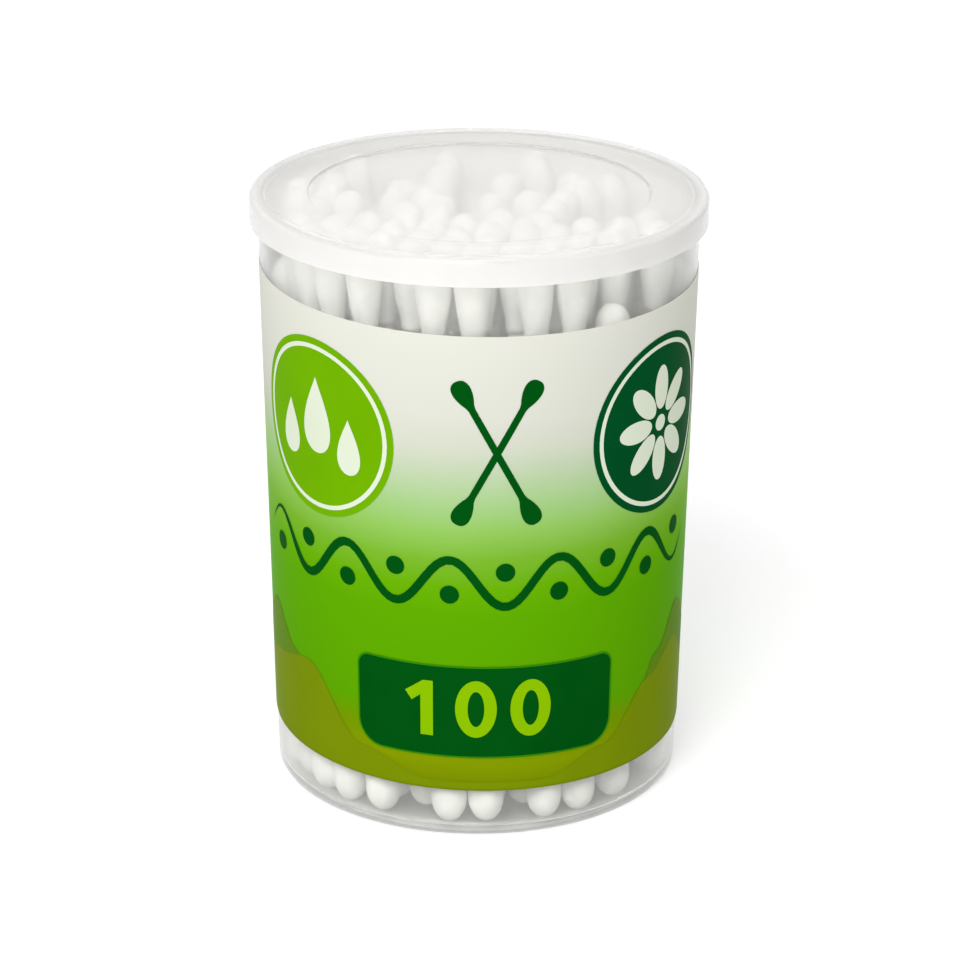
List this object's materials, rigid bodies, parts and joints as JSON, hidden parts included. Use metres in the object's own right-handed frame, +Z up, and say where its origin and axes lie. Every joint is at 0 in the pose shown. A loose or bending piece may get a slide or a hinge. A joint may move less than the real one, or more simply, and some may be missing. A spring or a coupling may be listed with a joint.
{
  "type": "cotton swab tub",
  "caption": "Round translucent drum of cotton swabs with a press-on lid and a wrap-round label; the lid lifts off.",
  "frame": {"origin": "middle of the foot, on the surface that the tub stands on", "axes": "+Z up through the lid, -Y towards the middle of the label's front, +X to the right"},
  "size_m": [0.06, 0.06, 0.0805],
  "materials": {
    "tub_plastic": "clear natural polypropylene, slightly hazy",
    "lid_plastic": "milky natural polyethylene",
    "label_film": "coated print, fading from cream to green and olive",
    "stick_paper": "rolled paper, matt",
    "cotton": "soft wound cotton"
  },
  "bodies": {
    "tub": {"tub": "tub_plastic", "label": "label_film", "sticks_row_1": "stick_paper", "upper_heads_row_1": "cotton", "lower_heads_row_1": "cotton", "sticks_row_2": "stick_paper", "upper_heads_row_2": "cotton", "lower_heads_row_2": "cotton", "sticks_row_3": "stick_paper", "upper_heads_row_3": "cotton", "lower_heads_row_3": "cotton", "sticks_row_4": "stick_paper", "upper_heads_row_4": "cotton", "lower_heads_row_4": "cotton", "sticks_row_5": "stick_paper", "upper_heads_row_5": "cotton", "lower_heads_row_5": "cotton", "sticks_row_6": "stick_paper", "upper_heads_row_6": "cotton", "lower_heads_row_6": "cotton"},
    "lid": {"lid": "lid_plastic"}
  },
  "joints": [
    {"name": "lid_lift", "type": "slide", "parent": "tub", "child": "lid", "axis": [0, 0, 1], "range_m": [0, 0.03]}
  ]
}
